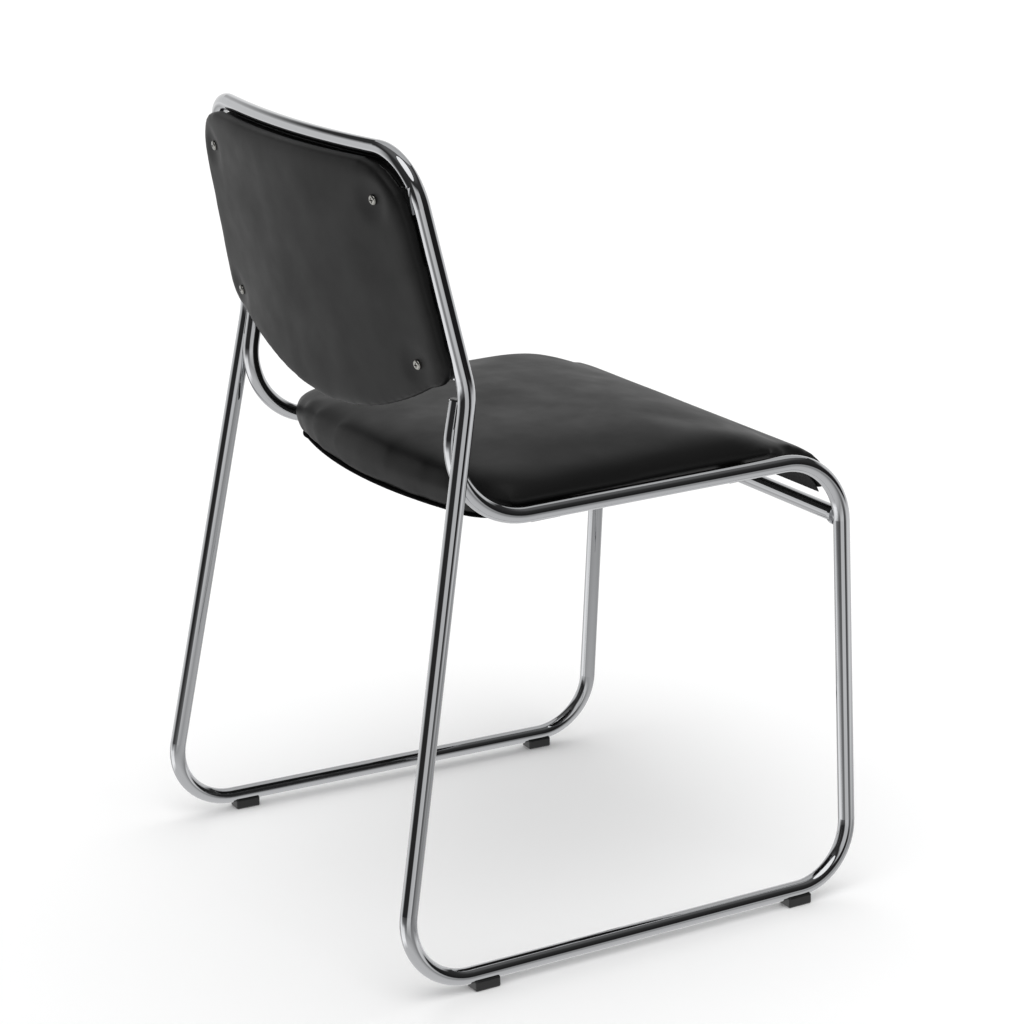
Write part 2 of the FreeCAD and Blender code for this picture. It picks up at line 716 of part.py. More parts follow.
def back_outline(inset):
    """A prism with the back's outline: inside the hoop, with a curved lower edge."""
    gap = tube_radius + size("back_edge_gap") + inset
    top = hoop_height - gap
    low_side = size("back_bottom_corner") + inset
    corner = size("hoop_corner_bend") - gap
    round_low = size("back_corner_round") - inset
    half_high = hoop_half(top) - gap
    half_low = hoop_half(low_side) - gap
    shoulder = low_side + round_low
    upper = bent_wire([Vector(-half_low, shoulder, 0), Vector(-half_high, top, 0),
                       Vector(half_high, top, 0), Vector(half_low, shoulder, 0)], [corner, corner])
    edges = list(upper.Edges)
    bulge = round_low * (1 - math.sqrt(0.5))
    for side in (1, -1):
        edges.append(Part.Arc(Vector(side * half_low, shoulder, 0),
                              Vector(side * (half_low - bulge), low_side + bulge, 0),
                              Vector(side * (half_low - round_low), low_side, 0)).toShape())
    edges.append(Part.Arc(Vector(half_low - round_low, low_side, 0),
                          Vector(0, inset - size("back_bottom_middle"), 0),
                          Vector(round_low - half_low, low_side, 0)).toShape())
    face = Part.Face(Part.Wire(Part.__sortEdges__(edges)))
    depth = size("hoop_corner_bend") + size("hoop_bow")
    face.translate(Vector(0, 0, -depth))
    return face.extrude(Vector(0, 0, 2 * depth))


def back_layer(front, rear, inset):
    """A curved layer of the back between two depths."""
    start = Vector(0, -hoop_height, drum_axis_ahead)
    drum = Part.makeCylinder(drum_radius + rear, 3 * hoop_height, start, Vector(0, 1, 0))
    drum = drum.cut(Part.makeCylinder(drum_radius + front, 3 * hoop_height, start, Vector(0, 1, 0)))
    layer = back_outline(inset).common(drum)
    return max(layer.Solids, key=lambda solid: solid.Volume)


def rounded_face(layer, depth, radius):
    """A layer with the edge of its outer face, the one at a depth, rounded."""
    axis = Vector(0, 0, drum_axis_ahead)

    def on_face(point):
        return abs(Vector(point.x, 0, point.z).distanceToPoint(axis) - drum_radius - depth) < 0.01

    edges = [edge for edge in layer.Edges if all(on_face(vertex.Point) for vertex in edge.Vertexes)]
    return layer.makeFillet(radius, edges)


board_back = size("back_board_behind")
board_front = board_back - size("back_board_thickness")
pad_back = board_back + size("back_rear_foam")
pad_front = board_front - size("back_front_foam")
edge_round = size("back_edge_round")
back_board = back_layer(board_front, board_back, size("back_board_gap"))
front_foam = rounded_face(back_layer(pad_front + skin, board_front, skin), pad_front + skin, edge_round - skin)
rear_inset = size("back_rear_inset")
rear_foam = back_layer(board_back, pad_back - skin, rear_inset + skin)
rear_foam = rounded_face(rear_foam, pad_back - skin, edge_round - skin)
# The front cover is drawn back round the board's edge, and the rear cover meets it there
front_cover = rounded_face(back_layer(pad_front, board_back, 0.0), pad_front, edge_round)
front_cover = front_cover.cut(front_foam).cut(back_layer(board_front, board_back, skin))
rear_cover = rounded_face(back_layer(board_back, pad_back, rear_inset), pad_back, edge_round).cut(rear_foam)

# Back fixings: four tabs on the hoop behind the board, a screw through each into a tee nut
clearance = size("soft_clearance")
screw_seat = pad_back - size("back_dimple")
screw_reach = screw_seat - board_front + size("nut_flange_thickness")
tab_rear = board_back + size("back_tab_thickness")
local_hoop = placed(hoop_rod, back_frame.inverse())
BACK_SCREWS = {"top": hoop_height - size("back_screw_drop"), "bottom": size("back_screw_bottom")}
back_tabs = {}
back_screws = []
back_washers = []
back_nuts = []
for word, side in (("right", -1), ("left", 1)):
    for place, up in BACK_SCREWS.items():
        inset = size("back_screw_inset")
        screw_x = side * (hoop_half(up) - tube_radius - inset)
        angle = math.asin(screw_x / drum_radius)
        # A frame on the drum's middle skin, its Z axis pointing forward through the board
        stand = Placement(Vector(screw_x, up, drum_axis_ahead - drum_radius * math.cos(angle)),
                          Rotation(Vector(0, 1, 0), -math.degrees(angle)))
        inner_edge = -side * size("back_tab_margin")
        outer_edge = side * (inset + tube_radius)
        start_x = min(inner_edge, outer_edge)
        tab_length = abs(outer_edge - inner_edge)
        half_tab = size("back_tab_width") / 2
        tab = Part.makeBox(tab_length, 2 * half_tab, size("back_tab_thickness"),
                           Vector(start_x, -half_tab, -tab_rear))
        tab = placed(tab, stand).cut(local_hoop)
        tab = min(tab.Solids, key=lambda solid: abs(solid.CenterOfMass.x))
        tab = tab.cut(rod_at(stand, size("screw_hole") / 2, -tab_rear - 1, -board_back + 1))
        back_tabs[place, word] = tab
        # The room for a tab reaches forward into the board, which curves away from the flat tab
        tab_room = Part.makeBox(tab_length + 2 * clearance, 2 * (half_tab + clearance),
                                size("back_tab_thickness") + clearance + size("back_board_thickness"),
                                Vector(start_x - clearance, -half_tab - clearance, -tab_rear - clearance))
        head_room = rod_at(stand, size("washer_diameter") / 2 + clearance, -2 * pad_back, -screw_seat)
        shank_room = rod_at(stand, size("screw_hole") / 2, -screw_seat - 1, -board_back + 1)
        for tool in (placed(tab_room, stand), head_room, shank_room):
            rear_foam = rear_foam.cut(tool)
            rear_cover = rear_cover.cut(tool)
        back_board = back_board.cut(rod_at(stand, size("nut_barrel_diameter") / 2,
                                           -board_back - 1, -board_front + 1))
        flange_room = rod_at(stand, size("nut_flange_diameter") / 2 + clearance,
                             0, -board_front + size("nut_flange_thickness") + clearance)
        front_foam = front_foam.cut(flange_room)
        head_place = stand.multiply(Placement(Vector(0, 0, -screw_seat), Rotation()))
        nut_place = stand.multiply(Placement(Vector(0, 0, -board_front), Rotation()))
        back_screws.append(placed(screw(screw_reach), head_place))
        back_washers.append(placed(cup_washer(), head_place))
        back_nuts.append(placed(tee_nut(), nut_place))

for (place, word), tab in back_tabs.items():
    feature(f"back_tab_{place}_{word}", tab, back_frame)
feature("back_board", back_board, back_frame)
feature("back_front_foam", front_foam, back_frame)
feature("back_front_cover", front_cover, back_frame)
feature("back_rear_foam", rear_foam, back_frame)
feature("back_rear_cover", rear_cover, back_frame)
feature("back_screws", Part.makeCompound(back_screws), back_frame)
feature("back_washers", Part.makeCompound(back_washers), back_frame)
feature("back_tee_nuts", Part.makeCompound(back_nuts), back_frame)

doc.recompute()

for item in doc.Objects:
    if "Invalid" in item.State or "Error" in item.State:
        raise RuntimeError(f"{item.Name} failed to build")
for item in nodes:
    if item.Shape.isNull() or not item.Shape.isValid():
        raise RuntimeError(f"{item.Label} has no valid shape")

os.makedirs("parts", exist_ok=True)
box = FreeCAD.BoundBox()
for item in nodes:
    item.Shape.exportStep(f"parts/{item.Label}.step")
    box.add(item.Shape.BoundBox)
    print(item.Label, len(item.Shape.Solids), "solids", round(item.Shape.Volume), "mm3")
print("box", [round(value, 1) for value in (box.XMin, box.YMin, box.ZMin, box.XMax, box.YMax, box.ZMax)])
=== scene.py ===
# %% [markdown]
# # Sled base visitor chair
#
# The chair is one bright tube that is bent into two floor runners, two seat rails and a hoop for
# the back. A padded seat and a padded back, both in smooth black upholstery vinyl, are screwed to
# it. The rigid parts come in as a finished frame. This lesson dresses them with materials and
# makes the soft parts anew, because padding is what a plain solid shows worst.

# %% Load the rigid frame
import bpy
import bmesh
import json
import math
from mathutils import Matrix, Vector
from mathutils.bvhtree import BVHTree


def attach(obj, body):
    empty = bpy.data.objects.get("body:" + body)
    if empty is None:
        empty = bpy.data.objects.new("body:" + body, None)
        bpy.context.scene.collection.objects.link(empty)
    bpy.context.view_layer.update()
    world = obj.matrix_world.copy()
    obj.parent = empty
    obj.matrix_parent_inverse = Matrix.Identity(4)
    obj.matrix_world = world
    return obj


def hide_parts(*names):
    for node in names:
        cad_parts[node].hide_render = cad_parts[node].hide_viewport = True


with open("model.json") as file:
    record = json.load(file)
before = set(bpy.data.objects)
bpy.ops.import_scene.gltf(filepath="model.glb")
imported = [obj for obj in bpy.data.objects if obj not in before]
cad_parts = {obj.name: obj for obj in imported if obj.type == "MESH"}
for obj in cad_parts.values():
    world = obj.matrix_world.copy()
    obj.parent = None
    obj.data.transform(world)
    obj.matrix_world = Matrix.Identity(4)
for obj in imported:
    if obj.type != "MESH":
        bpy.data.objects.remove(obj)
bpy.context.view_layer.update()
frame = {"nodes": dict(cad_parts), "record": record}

nodes = frame["nodes"]

# %% [markdown]
# ## Small helpers
#
# Colours are easiest to write down as sRGB hex, the way a paint chart gives them, but a shader
# works in linear light. One function turns one into the other. A second one adds a shader node,
# sets its sockets and joins its inputs, so that each material below reads as a short list.

# %% Helpers for materials

def linear(hex_colour):
    """The linear colour of an sRGB hex value."""
    def channel(text):
        value = int(text, 16) / 255
        return value / 12.92 if value <= 0.04045 else ((value + 0.055) / 1.055) ** 2.4
    return (*(channel(hex_colour[i:i + 2]) for i in (1, 3, 5)), 1.0)


def add(tree, kind, settings=None, links=None, **sockets):
    """Add a shader node: settings are its own options, sockets its plain inputs, links its wires."""
    node = tree.nodes.new(kind)
    for name, value in (settings or {}).items():
        setattr(node, name, value)
    for name, value in sockets.items():
        node.inputs[name.replace("_", " ")].default_value = value
    for name, output in (links or {}).items():
        tree.links.new(output, node.inputs[name])
    return node


def new_material(name):
    """An empty material with its output node, and its node tree."""
    material = bpy.data.materials.new(name)
    material.use_nodes = True
    material.node_tree.nodes.clear()
    output = material.node_tree.nodes.new("ShaderNodeOutputMaterial")
    return material, material.node_tree, output


# %% [markdown]
# ## Bright chrome plate
#
# The frame is steel tube, polished, nickel plated and then flashed with chromium. Chromium is a
# blue grey metal that reflects about two thirds of the light, so a clean tube is a mirror that
# is a little darker than what it mirrors. Tube drawing and buffing leave shallow waves along the
# tube, and handling leaves a faint haze. Both are drawn from noise on Object coordinates.

# %% Chrome material
MM = 0.001


def bright_chrome_plate():
    """A mirror with a faint haze and shallow buffing waves."""
    material, tree, output = new_material("bright_chrome_plate")
    place = add(tree, "ShaderNodeTexCoord")
    haze = add(tree, "ShaderNodeTexNoise", links={"Vector": place.outputs["Object"]},
               Scale=1 / (40 * MM), Detail=4.0, Roughness=0.6)
    gloss = add(tree, "ShaderNodeMapRange", links={"Value": haze.outputs["Fac"]},
                From_Min=0.35, From_Max=0.75, To_Min=0.02, To_Max=0.06)
    waves = add(tree, "ShaderNodeTexNoise", links={"Vector": place.outputs["Object"]},
                Scale=1 / (30 * MM), Detail=1.0)
    bump = add(tree, "ShaderNodeBump", links={"Height": waves.outputs["Fac"]},
               Strength=0.10, Distance=0.4 * MM)
    shader = add(tree, "ShaderNodeBsdfPrincipled",
                 links={"Roughness": gloss.outputs["Result"], "Normal": bump.outputs["Normal"]},
                 Base_Color=linear("#AFB0B2"), Metallic=1.0)
    tree.links.new(shader.outputs["BSDF"], output.inputs["Surface"])
    return material


chrome = bright_chrome_plate()

# %% [markdown]
# ## Smooth upholstery vinyl
#
# The covers are vinyl coated cloth: a soft black coating, embossed with a very fine hide grain
# and left semi-matte. From a few steps away the grain is too fine to see and only spreads the
# highlight. Close up it shows as small rounded cells of about 0.8 mm, here a Voronoi pattern.

# %% Vinyl material

def upholstery_vinyl(name, colour):
    """Coated cloth with a fine hide grain over a faint unevenness of the padding."""
    material, tree, output = new_material(name)
    place = add(tree, "ShaderNodeTexCoord")
    cells = add(tree, "ShaderNodeTexVoronoi", {"feature": "SMOOTH_F1"},
                {"Vector": place.outputs["Object"]}, Scale=1 / (0.9 * MM), Smoothness=0.6)
    cloth = add(tree, "ShaderNodeTexNoise", links={"Vector": place.outputs["Object"]},
                Scale=1 / (55 * MM), Detail=3.0, Roughness=0.55)
    fine = add(tree, "ShaderNodeBump", links={"Height": cells.outputs["Distance"]},
               Strength=0.22, Distance=0.12 * MM)
    soft = add(tree, "ShaderNodeBump",
               links={"Height": cloth.outputs["Fac"], "Normal": fine.outputs["Normal"]},
               Strength=0.12, Distance=0.8 * MM)
    sheen = add(tree, "ShaderNodeMapRange", links={"Value": cloth.outputs["Fac"]},
                From_Min=0.3, From_Max=0.7, To_Min=0.42, To_Max=0.52)
    shader = add(tree, "ShaderNodeBsdfPrincipled",
                 links={"Roughness": sheen.outputs["Result"], "Normal": soft.outputs["Normal"]},
                 Base_Color=linear(colour), Specular_IOR_Level=0.15)
    tree.links.new(shader.outputs["BSDF"], output.inputs["Surface"])
    return material


vinyl = upholstery_vinyl("black_upholstery_vinyl", "#131313")

# %% [markdown]
# ## The other finishes
#
# Glides and plugs are moulded polyethylene, black with a satin skin. Screws are nickel plated.
# Inner fittings are zinc plated. The boards are birch plywood, the padding is polyurethane foam
# and the dust cover is a thin black spunbond cloth. Each gets its colour and its own small relief.

# %% Plastic, plated steel, plywood, foam and cloth

def simple_finish(name, colour, roughness, metallic=0.0, relief_mm=1.0, relief=0.15, specular=0.5):
    """A plain colour with a little uneven gloss and relief, the relief's grain given in mm."""
    material, tree, output = new_material(name)
    place = add(tree, "ShaderNodeTexCoord")
    grain = add(tree, "ShaderNodeTexNoise", links={"Vector": place.outputs["Object"]},
                Scale=1 / (relief_mm * MM), Detail=3.0, Roughness=0.6)
    bump = add(tree, "ShaderNodeBump", links={"Height": grain.outputs["Fac"]},
               Strength=relief, Distance=0.15 * relief_mm * MM)
    gloss = add(tree, "ShaderNodeMapRange", links={"Value": grain.outputs["Fac"]},
                From_Min=0.3, From_Max=0.7, To_Min=roughness * 0.85, To_Max=roughness * 1.15)
    shader = add(tree, "ShaderNodeBsdfPrincipled",
                 links={"Roughness": gloss.outputs["Result"], "Normal": bump.outputs["Normal"]},
                 Base_Color=linear(colour), Metallic=metallic, Specular_IOR_Level=specular)
    tree.links.new(shader.outputs["BSDF"], output.inputs["Surface"])
    return material


def birch_plywood():
    """Pale wood with its grain drawn out along Y."""
    material, tree, output = new_material("birch_plywood")
    place = add(tree, "ShaderNodeTexCoord")
    stretch = add(tree, "ShaderNodeMapping", links={"Vector": place.outputs["Object"]},
                  Scale=(1.0, 0.08, 1.0))
    grain = add(tree, "ShaderNodeTexNoise", links={"Vector": stretch.outputs["Vector"]},
                Scale=1 / (3 * MM), Detail=6.0, Roughness=0.65)
    colour = add(tree, "ShaderNodeValToRGB", links={"Fac": grain.outputs["Fac"]})
    colour.color_ramp.elements[0].position = 0.35
    colour.color_ramp.elements[0].color = linear("#B08A5C")
    colour.color_ramp.elements[1].position = 0.70
    colour.color_ramp.elements[1].color = linear("#D8BC8E")
    bump = add(tree, "ShaderNodeBump", links={"Height": grain.outputs["Fac"]},
               Strength=0.3, Distance=0.1 * MM)
    shader = add(tree, "ShaderNodeBsdfPrincipled",
                 links={"Base Color": colour.outputs["Color"], "Normal": bump.outputs["Normal"]},
                 Roughness=0.65)
    tree.links.new(shader.outputs["BSDF"], output.inputs["Surface"])
    return material


FINISHES = {
    "chrome": chrome,
    "black_vinyl": vinyl,
    "zinc_steel": simple_finish("zinc_plated_steel", "#A9ABAD", 0.32, metallic=1.0),
    "nickel_screws": simple_finish("nickel_plated_screw", "#8E8D89", 0.18, metallic=1.0, relief=0.05),
    "black_plastic": simple_finish("moulded_polyethylene", "#161616", 0.42, relief_mm=0.6),
    "plywood": birch_plywood(),
    "foam": simple_finish("polyurethane_foam", "#D8CFA8", 0.9, relief_mm=1.5, relief=0.6),
    "dust_cloth": simple_finish("spunbond_dust_cloth", "#141414", 0.8, relief_mm=0.8, relief=0.5,
                                specular=0.2),
}
slot_of = {part["node"]: part["material_slot"] for part in frame["record"]["subparts"]}
for name, node in nodes.items():
    node.data.materials.clear()
    node.data.materials.append(FINISHES[slot_of[name]])
print(len(nodes), "frame nodes painted")

# %% [markdown]
# ## Padding: a form, some smoothing, a little air
#
# A cushion is foam with a cover pulled tight over it, so its edges are round and its faces are
# crowned. Modelling that by hand gives even, lifeless curves. Here each cushion starts as a plain
# closed form. It is remeshed into small even quads, its edges are relaxed, and then it is blown
# up slightly as cloth, with the parts that are stapled to the board held still.

# %% A form made of small even faces

def mesh_object(name, bm, material=None):
    """A new object from a bmesh, at the origin."""
    mesh = bpy.data.meshes.new(name)
    bm.to_mesh(mesh)
    bm.free()
    piece = bpy.data.objects.new(name, mesh)
    bpy.context.scene.collection.objects.link(piece)
    if material is not None:
        mesh.materials.append(material)
    return piece


def apply_modifiers(piece):
    """Bake the object's modifiers into its mesh."""
    depsgraph = bpy.context.evaluated_depsgraph_get()
    baked = bpy.data.meshes.new_from_object(piece.evaluated_get(depsgraph))
    old = piece.data
    piece.modifiers.clear()
    piece.data = baked
    bpy.data.meshes.remove(old)


def remeshed(piece, voxel):
    """Replace a closed form's faces with even ones, a voxel wide."""
    modifier = piece.modifiers.new("even_faces", "REMESH")
    modifier.mode = "VOXEL"
    modifier.voxel_size = voxel
    apply_modifiers(piece)


def relax(piece, rounds, free=None):
    """Smooth the points that are free to move, a number of times."""
    bm = bmesh.new()
    bm.from_mesh(piece.data)
    movable = [v for v in bm.verts if free is None or free(v.co)]
    for _ in range(rounds):
        bmesh.ops.smooth_vert(bm, verts=movable, factor=0.5,
                              use_axis_x=True, use_axis_y=True, use_axis_z=True)
    bm.to_mesh(piece.data)
    bm.free()


def blow_up(piece, pressure, cap, held, frames=20):
    """Inflate the closed form as cloth, holding the held points, and cap how far a point moves."""
    start = [v.co.copy() for v in piece.data.vertices]
    pins = piece.vertex_groups.new(name="held")
    pins.add([v.index for v in piece.data.vertices if held(v.co)], 1.0, "REPLACE")
    cloth = piece.modifiers.new("air", "CLOTH")
    settings = cloth.settings
    settings.quality = 4
    settings.mass = 0.3
    settings.tension_stiffness = 40
    settings.compression_stiffness = 40
    settings.shear_stiffness = 20
    settings.bending_stiffness = 4
    settings.use_pressure = True
    settings.uniform_pressure_force = pressure
    settings.vertex_group_mass = "held"
    settings.effector_weights.gravity = 0
    cloth.collision_settings.use_collision = False
    scene = bpy.context.scene
    for number in range(1, frames + 1):
        scene.frame_set(number)
    apply_modifiers(piece)
    scene.frame_set(1)
    piece.vertex_groups.clear()
    farthest = 0.0
    for vertex, before in zip(piece.data.vertices, start):
        step = vertex.co - before
        if step.length > cap:
            vertex.co = before + step * (cap / step.length)
        farthest = max(farthest, (vertex.co - before).length)
    print(piece.name, "moved up to", round(farthest * 1000, 1), "mm")


def finish_padding(piece, *replaced, fill):
    """Smooth the finished cushion once more and hand it over to the frame."""
    modifier = piece.modifiers.new("smooth_skin", "SUBSURF")
    modifier.levels = 1
    modifier.render_levels = 1
    apply_modifiers(piece)
    piece.data.shade_smooth()
    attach(piece, "root")
    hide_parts(*replaced)
    print(piece.name, len(piece.data.polygons), "faces")

# %% [markdown]
# ## Seat cushion
#
# The seat is foam on a bent board: level over the rails, rounding down over the front bends to a
# thin lip. The plain solids of the foam, its cover and its board already hold that form, so a
# joined copy of them is the start. Everything close to the rails and the board keeps its place,
# and the top and the sides are relaxed and blown up.

# %% Seat cushion form
SLOPE = math.radians(1.35)
BEND_AXIS = Vector((0, -0.1829, 0.3705))
BEND_RADIUS = 0.062
# Heights over the rails' centre line from which the cushion is free of its board
FREE_HEIGHT = 0.014
CROWN_HEIGHT = 0.016
REAR_WALL_Y = 0.11


def above_rail(point):
    """Height of a point over the rails' centre line, measured square to it, also round the bend."""
    if point.y < BEND_AXIS.y:
        return math.hypot(point.y - BEND_AXIS.y, point.z - BEND_AXIS.z) - BEND_RADIUS
    rail = BEND_AXIS.z + BEND_RADIUS - (point.y - BEND_AXIS.y) * math.tan(SLOPE)
    return (point.z - rail) * math.cos(SLOPE)


def is_rear_wall(point):
    """Whether a point is on the cushion's curved rear wall, over the board's lower face."""
    return point.y > REAR_WALL_Y and above_rail(point) > 0


def joined_copy(*names):
    """One bmesh with merged copies of some frame nodes."""
    bm = bmesh.new()
    for node_name in names:
        bm.from_mesh(nodes[node_name].data)
    bmesh.ops.remove_doubles(bm, verts=bm.verts, dist=1e-5)
    return bm


seat_form = joined_copy("seat_foam", "seat_cover", "seat_board")
seat_pad = mesh_object("seat_pad", seat_form, vinyl)
remeshed(seat_pad, 6.5 * MM)
relax(seat_pad, 1)
relax(seat_pad, 10, free=lambda co: above_rail(co) > FREE_HEIGHT or is_rear_wall(co))
blow_up(seat_pad, pressure=1.0, cap=4 * MM, held=lambda co: above_rail(co) < FREE_HEIGHT)
relax(seat_pad, 16, free=lambda co: above_rail(co) > CROWN_HEIGHT)

# %% Seat cushion clear of the rails

def keep_clear(piece, names, gap):
    """Push the points that are in or too near some frame nodes out to the gap."""
    trees = []
    for node_name in names:
        bm = joined_copy(node_name)
        trees.append(BVHTree.FromBMesh(bm))
        bm.free()
    moved = 0
    for vertex in piece.data.vertices:
        for tree in trees:
            spot, normal, _, distance = tree.find_nearest(vertex.co, 0.02)
            if spot is None:
                continue
            inside = (vertex.co - spot).dot(normal) < 0
            if inside or distance < gap:
                vertex.co = spot + normal * gap
                moved += 1
    print(piece.name, moved, "points moved clear")


keep_clear(seat_pad, ("seat_rail_right", "seat_rail_left", "front_crossbar"), 0.6 * MM)
finish_padding(seat_pad, "seat_foam", "seat_cover", "seat_board", fill=0.8)

# %% [markdown]
# ## Back pads
#
# The back is a curved board between two pads inside the hoop. The front pad's cover is drawn
# round the board's edge, and the rear pad lies behind it and comes up against the tube, so a
# groove shows between the two. Both start as a flat outline in the hoop's own plane, which is
# then given its thickness and bent to the hoop's bow. A place in that plane is given across, up from
# the line between the tube's knees, and rearward of the middle skin of the bow.

# %% The hoop's plane
RECLINE = math.radians(11.0)
KNEES = Vector((0, 0.160, 0.5455))
HOOP_RISE = 0.2115
HOOP_HEIGHT = HOOP_RISE / math.cos(RECLINE)
HALF_TOP = 0.200
HALF_KNEE = 0.224
BOW = 0.020
HALF_CHORD = (HALF_TOP + HALF_KNEE) / 2
DRUM_RADIUS = (HALF_CHORD ** 2 + BOW ** 2) / (2 * BOW)
ACROSS = Vector((1, 0, 0))
UPWARD = Vector((0, math.sin(RECLINE), math.cos(RECLINE)))
FORWARD = Vector((0, -math.cos(RECLINE), math.sin(RECLINE)))


def to_chair(x, up, rearward):
    """A point of the hoop's plane, some way rearward of the bowed middle skin, in the chair."""
    angle = math.asin(x / DRUM_RADIUS)
    radius = DRUM_RADIUS + rearward
    ahead = DRUM_RADIUS - BOW - radius * math.cos(angle)
    return KNEES + ACROSS * (radius * math.sin(angle)) + UPWARD * up + FORWARD * ahead


def to_hoop(point):
    """The inverse: across, up, and rearward of the middle skin."""
    local = point - KNEES
    x, up, ahead = local.x, local.dot(UPWARD), local.dot(FORWARD)
    from_axis = Vector((x, DRUM_RADIUS - BOW - ahead))
    return Vector((math.atan2(x, from_axis.y) * DRUM_RADIUS, up, from_axis.length - DRUM_RADIUS))


def half_hoop(up):
    """Half the tube spacing at a height up the hoop."""
    return HALF_KNEE + (HALF_TOP - HALF_KNEE) * up / HOOP_HEIGHT


# %% Outline of a back pad
EDGE_GAP = 0.0086
HOOP_CORNER = 0.052
LOW_CORNER = 0.024
LOW_SIDE = 0.010
LOW_MIDDLE_DROP = 0.046
# The corners aren't quite square, so a bevel this much longer gives the arc its radius
BEVEL_STRETCH = 1.06


def back_form(inset, front, rear):
    """A closed form with the back's outline, from a front depth to a rear depth."""
    gap = EDGE_GAP + inset
    low = LOW_SIDE + inset
    high = HOOP_HEIGHT - gap
    bm = bmesh.new()
    corners = [(-1, low), (1, low), (1, high), (-1, high)]
    verts = [bm.verts.new((side * (half_hoop(up) - gap), up, 0)) for side, up in corners]
    bm.faces.new(verts)
    bm.verts.ensure_lookup_table()
    for pair, radius in ((verts[2:], HOOP_CORNER - gap), (verts[:2], LOW_CORNER - inset)):
        bmesh.ops.bevel(bm, geom=pair, offset=radius * BEVEL_STRETCH, affect="VERTICES", segments=10,
                        profile=0.5, material=-1)
    # The straight lower edge becomes a shallow arc
    bottom = [edge for edge in bm.edges if all(abs(v.co.y - low) < 1e-6 for v in edge.verts)]
    bmesh.ops.subdivide_edges(bm, edges=bottom, cuts=30)
    lowest = [v for v in bm.verts if abs(v.co.y - low) < 1e-6]
    span = max(v.co.x for v in lowest)
    for v in lowest:
        v.co.y -= LOW_MIDDLE_DROP * (1 - (v.co.x / span) ** 2)
    grown = bmesh.ops.extrude_face_region(bm, geom=bm.faces[:])
    moved = [item for item in grown["geom"] if isinstance(item, bmesh.types.BMVert)]
    bmesh.ops.translate(bm, verts=bm.verts[:], vec=(0, 0, front))
    bmesh.ops.translate(bm, verts=moved, vec=(0, 0, rear - front))
    bmesh.ops.recalc_face_normals(bm, faces=bm.faces)
    return bm


def bend_into_hoop(piece):
    """Take a form from the flat plane, depth along Z, into its place in the hoop."""
    for vertex in piece.data.vertices:
        vertex.co = to_chair(*vertex.co)


# %% Front pad
BOARD_BACK = 0.0045
BOARD_FRONT = -0.0045
FRONT_PAD = 0.0150
front_form = back_form(-1 * MM, BOARD_FRONT - FRONT_PAD, BOARD_BACK)
back_front_pad = mesh_object("back_front_pad", front_form, vinyl)
remeshed(back_front_pad, 4.8 * MM)
relax(back_front_pad, 1)
relax(back_front_pad, 6, free=lambda co: co.z < BOARD_FRONT)
bend_into_hoop(back_front_pad)
blow_up(back_front_pad, pressure=1.2, cap=5 * MM, held=lambda co: to_hoop(co).z > BOARD_FRONT)
relax(back_front_pad, 14, free=lambda co: to_hoop(co).z < BOARD_FRONT - 5 * MM)
keep_clear(back_front_pad, ("back_hoop",), 0.4 * MM)
finish_padding(back_front_pad, "back_front_foam", "back_front_cover", "back_board", fill=0.8)

# %% [markdown]
# ## Rear pad and its dimples
#
# Four pan head screws go through the rear pad into the board. Each pulls the cover in to a
# shallow dimple round its head. The pad is blown up first. Then every point near a screw is
# pushed down towards the dimple's floor, less and less with its distance, and smoothed twice.

# %% Rear pad
SCREW_INSET = 0.042
SCREW_HEIGHTS = (0.177, 0.027)
SCREWS = [(side * (half_hoop(up) - SCREW_INSET), up) for side in (-1, 1) for up in SCREW_HEIGHTS]
PAD_BACK = 0.0205
DIMPLE_DEPTH = 4.7 * MM
DIMPLE_FLAT = 6.2 * MM
DIMPLE_REACH = 26 * MM


def screw_distance(x, up):
    """Distance from the nearest back screw's axis."""
    spots = [(DRUM_RADIUS * math.asin(across / DRUM_RADIUS), height) for across, height in SCREWS]
    return min(math.hypot(across - x, height - up) for across, height in spots)


def fall_off(distance, flat, reach):
    """1 within the flat floor, easing to 0 at the reach."""
    share = min(max((distance - flat) / (reach - flat), 0.0), 1.0)
    return 1 - share * share * (3 - 2 * share)


rear_form = back_form(-5 * MM, BOARD_BACK - 1 * MM, PAD_BACK + 1 * MM)
back_rear_pad = mesh_object("back_rear_pad", rear_form, vinyl)
remeshed(back_rear_pad, 4.5 * MM)
relax(back_rear_pad, 1)
relax(back_rear_pad, 4, free=lambda co: co.z > BOARD_BACK + 5 * MM)
bend_into_hoop(back_rear_pad)
blow_up(back_rear_pad, pressure=1.0, cap=3 * MM, held=lambda co: to_hoop(co).z < BOARD_BACK + 5 * MM)
relax(back_rear_pad, 20, free=lambda co: to_hoop(co).z > PAD_BACK - 4 * MM)
dimple_floor = PAD_BACK - DIMPLE_DEPTH
for vertex in back_rear_pad.data.vertices:
    x, up, depth = to_hoop(vertex.co)
    if depth > dimple_floor:
        pull = fall_off(screw_distance(x, up), DIMPLE_FLAT, DIMPLE_REACH)
        vertex.co += FORWARD * ((depth - dimple_floor) * pull)
relax(back_rear_pad, 2)
keep_clear(back_rear_pad, ("back_hoop",), 0.4 * MM)
finish_padding(back_rear_pad, "back_rear_foam", "back_rear_cover", fill=0.75)

# %% [markdown]
# ## Floor, studio and lamps
#
# The object stands on a white floor in front of a white background. The floor takes the soft
# shadow, and it is hidden from glossy rays, because the panorama further down has its own.

# %% Floor

def white_floor():
    """Matt white paper."""
    material, tree, output = new_material("white_studio_floor")
    shader = add(tree, "ShaderNodeBsdfDiffuse", Color=(0.95, 0.95, 0.95, 1.0))
    tree.links.new(shader.outputs["BSDF"], output.inputs["Surface"])
    return material


